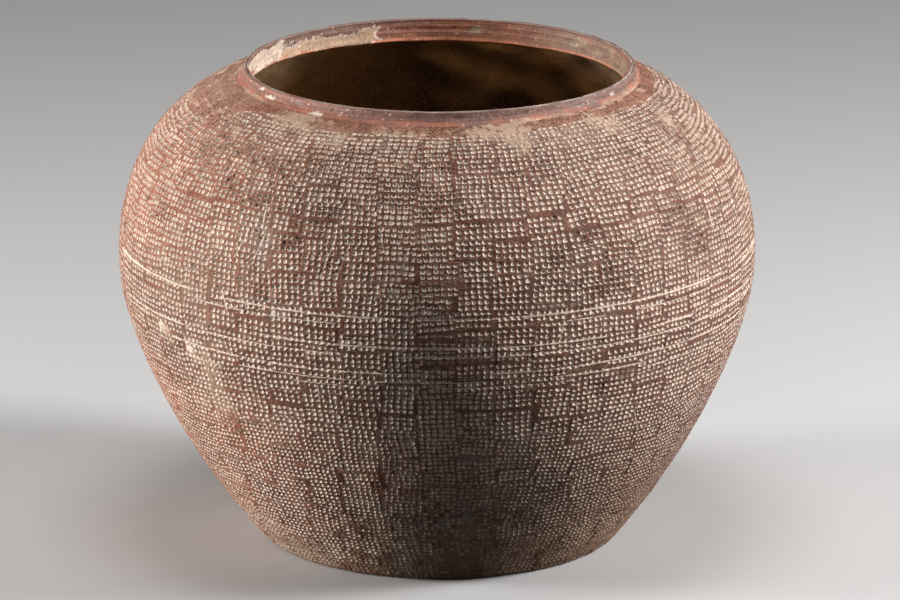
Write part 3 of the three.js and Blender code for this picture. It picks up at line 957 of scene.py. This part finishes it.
def wall_clay():
    """Matt red-brown clay, with pale earth inside each pit and line, and gritty grain all over."""
    shade = Shading("stamped_clay")
    tint = shade.attribute("tint", "Color")
    across, down, pressed = shade.parts(shade.attribute("cell"))
    fill, gap, crust = shade.parts(shade.attribute("marks"))
    grit, cloud, patchy = shade.noise(0.5, 4.0, 0.65), shade.noise(5.0, 5.0, 0.6), shade.noise(1.5, 2.0, 0.5)

    def uneven(value, spread):
        """The value, raised and lowered in patches by up to this much."""
        return shade.sum("ADD", value, shade.spread(patchy, -spread, spread))

    sides = []
    for value in (across, down):
        middle = shade.sum("ABSOLUTE", shade.sum("SUBTRACT", shade.sum("FRACT", value), 0.5))
        sides.append(shade.sum("POWER", shade.times(middle, 2.0), PIT_SQUARENESS))
    reach = shade.sum("POWER", shade.sum("ADD", *sides), 1 / PIT_SQUARENESS)
    reach = shade.sum("ADD", reach, shade.spread(grit, -0.07, 0.07, smooth=False))
    row = shade.sum("FRACT", down)
    firm = shade.step(pressed, 0.35, 0.75)
    opening = shade.times(shade.step(reach, PIT_OPENING, PIT_OPENING - 0.14), shade.step(pressed, 0.05, 0.45))

    # The earth is duller and darker low on the right: painted shade
    earth = shade.blend(shade.step(patchy, 0.45, 0.75), EARTH, DULL_EARTH)
    x, _, z = shade.parts(shade.place())
    painted_low_right_shade = shade.times(shade.step(z, 0.1, 0.03), shade.step(x, -0.03, 0.04), 0.65)
    earth = shade.blend(painted_low_right_shade, earth, DULL_EARTH * 0.5)

    # The ground between the pits, with pale and dark specks, and the earth that the pits hold
    speckle = shade.noise(0.8, 3.0, 0.75, flat=1.8)
    dusted = shade.blend(shade.step(speckle, 0.5, 0.66, 0.0, 0.32), tint, DULL_EARTH)
    specked = shade.blend(shade.step(speckle, 0.47, 0.34, 0.0, 0.65), dusted, SMOKED_AND_SHADE * 0.6)
    # Clay inside the pit openings is darkened: painted shade in the hollows
    bare = shade.blend(opening, specked, (0.72, 0.68, 0.64), "MULTIPLY")
    held = shade.step(uneven(fill, 0.2), 0.22, 0.6)
    colour = shade.blend(shade.times(opening, held), bare, earth)

    # Painted shade: the upper part of the emptier pits is darkened, and a dark ring runs along each pit's
    # upper edge where the earth has shrunk from the wall
    emptied = shade.step(uneven(fill, 0.2), 1.1, 0.55)
    upper = shade.step(row, 0.72, 0.28, 0.2, 1.0)
    deep = shade.times(shade.step(reach, 0.7, 0.3), opening, firm, emptied)
    colour = shade.blend(shade.times(deep, upper, 0.75), colour, SMOKED_AND_SHADE * 0.5)
    shade_ring = shade.times(shade.step(reach, 0.5, 0.6), shade.step(reach, 0.78, 0.7), shade.step(row, 0.48, 0.3))
    ring_strength = shade.step(shade.noise(2.2, 1.0, 0.5), 0.42, 0.58, 0.1, 0.8)
    colour = shade.blend(shade.times(shade_ring, ring_strength, firm), colour, SMOKED_AND_SHADE * 0.4)

    # Earth in the incised lines, and crust over everything
    line = shade.step(uneven(gap, 0.12), 0.62, 0.34)
    colour = shade.blend(shade.times(line, 0.95), colour, earth)
    caked = shade.step(uneven(crust, 0.25), 0.12, 0.95)
    colour = shade.blend(shade.times(caked, 0.85), colour, CRUST)

    grain = shade.times(shade.spread(grit, 0.8, 1.17), shade.spread(cloud, 0.88, 1.1))
    bowl = shade.times(shade.step(reach, PIT_OPENING, PIT_FLOOR), shade.step(pressed, 0.05, 0.6))
    bumps = shade.times(shade.sum("ADD", grit, speckle), 0.18)
    height = shade.sum("SUBTRACT", bumps, shade.times(bowl, PIT_CRISPNESS))
    return shade.finish(colour, grain, shade.spread(cloud, 0.72, 0.92), height, 1.0, 0.3)


def collar_clay():
    """Wheel-smoothed clay with a faint sheen and fine grain."""
    shade = Shading("turned_clay")
    tint = shade.attribute("tint", "Color")
    grit, cloud = shade.noise(0.4, 4.0, 0.65), shade.noise(6.0, 6.0, 0.62)
    grain = shade.times(shade.spread(grit, 0.82, 1.16), shade.spread(cloud, 0.8, 1.18))
    return shade.finish(tint, grain, shade.spread(cloud, 0.5, 0.74), grit, 0.12, 0.45)


def seen_directly(tree):
    """One for the camera's own rays, and for what gloss and glass show."""
    rays = tree.nodes.new("ShaderNodeLightPath")
    total = rays.outputs["Is Camera Ray"]
    for label in ("Is Glossy Ray", "Is Transmission Ray"):
        made = tree.nodes.new("ShaderNodeMath")
        made.operation = "MAXIMUM"
        tree.links.new(total, made.inputs[0])
        tree.links.new(rays.outputs[label], made.inputs[1])
        total = made.outputs[0]
    return total


# How bright the backdrop looks, how much light it throws back, and where the lamps stand, in metres
PALE = 0.62
FLOOR_BOUNCE = 0.1
SKY = 0.014
LAMP_AIM = (0, 0, 0.13)
LAMP_REACH = 1.6


def pale_floor():
    """A floor that looks pale and keeps the shadow, and throws little light back up."""
    shade = Shading("pale_floor")
    both = shade.node("ShaderNodeMixShader")
    shade.put(both.inputs[0], seen_directly(shade.tree))
    for socket, level in ((both.inputs[1], FLOOR_BOUNCE), (both.inputs[2], PALE)):
        matt = shade.node("ShaderNodeBsdfDiffuse")
        shade.put(matt.inputs["Color"], (level, level, level, 1))
        shade.put(socket, matt.outputs[0])
    return shade.show(both)


def pale_world():
    world = bpy.data.worlds.new("studio")
    bpy.context.scene.world = world
    world.use_nodes = True
    tree = world.node_tree
    background = tree.nodes["Background"]
    background.inputs["Color"].default_value = (1, 1, 1, 1)
    level = tree.nodes.new("ShaderNodeMapRange")
    tree.links.new(seen_directly(tree), level.inputs["Value"])
    level.inputs["To Min"].default_value = SKY
    level.inputs["To Max"].default_value = PALE
    tree.links.new(level.outputs["Result"], background.inputs["Strength"])


def strip(name, side_degrees, rise_degrees, power, width, height, colour):
    """A soft strip lamp at this turn from the front, positive to the right, and this rise."""
    side, rise = math.radians(side_degrees), math.radians(rise_degrees)
    way = Vector((math.sin(side) * math.cos(rise), -math.cos(side) * math.cos(rise), math.sin(rise)))
    light = bpy.data.lights.new(name, "AREA")
    light.shape = "RECTANGLE"
    light.size, light.size_y = width, height
    light.energy = power
    light.color = colour
    made = bpy.data.objects.new(name, light)
    made.location = Vector(LAMP_AIM) + way * LAMP_REACH
    made.rotation_euler = (-way).to_track_quat("-Z", "Y").to_euler()
    bpy.context.collection.objects.link(made)


def studio():
    """Pale floor, a soft strip at each side, a weak top light and the photograph's camera."""
    bpy.ops.mesh.primitive_plane_add(size=14, location=(0, 0, 0))
    floor = bpy.context.object
    floor.name = "floor"
    floor.data.materials.append(pale_floor())
    pale_world()
    strip("left_strip", -84.5, 8, 37, 0.4, 0.7, (1, 0.98, 0.96))
    strip("right_strip", 84, 23, 35.5, 0.4, 0.7, (1, 0.98, 0.97))
    strip("top_soft", 0, 85, 8.5, 0.7, 0.7, (1, 1, 1))
    back = Vector((0, -math.cos(CAMERA_RISE), math.sin(CAMERA_RISE)))
    lens = bpy.data.cameras.new("camera")
    lens.lens = CAMERA_LENS
    lens.sensor_width = 36
    lens.clip_end = 100
    camera = bpy.data.objects.new("camera", lens)
    camera.location = Vector(CAMERA_TARGET) * MM + back * CAMERA_DISTANCE * MM
    camera.rotation_euler = (-back).to_track_quat("-Z", "Y").to_euler()
    bpy.context.collection.objects.link(camera)
    bpy.context.scene.camera = camera
    bpy.context.scene.view_settings.view_transform = "Standard"


studio()
outer_wall = wall_surface()
inner_wall = inside_surface()
stamped = wall_clay()
turned = collar_clay()
base(outer_wall, inner_wall, stamped)
for coil_index in range(COIL_COUNT):
    coil(coil_index, outer_wall, inner_wall, stamped)
collar(outer_wall, turned)
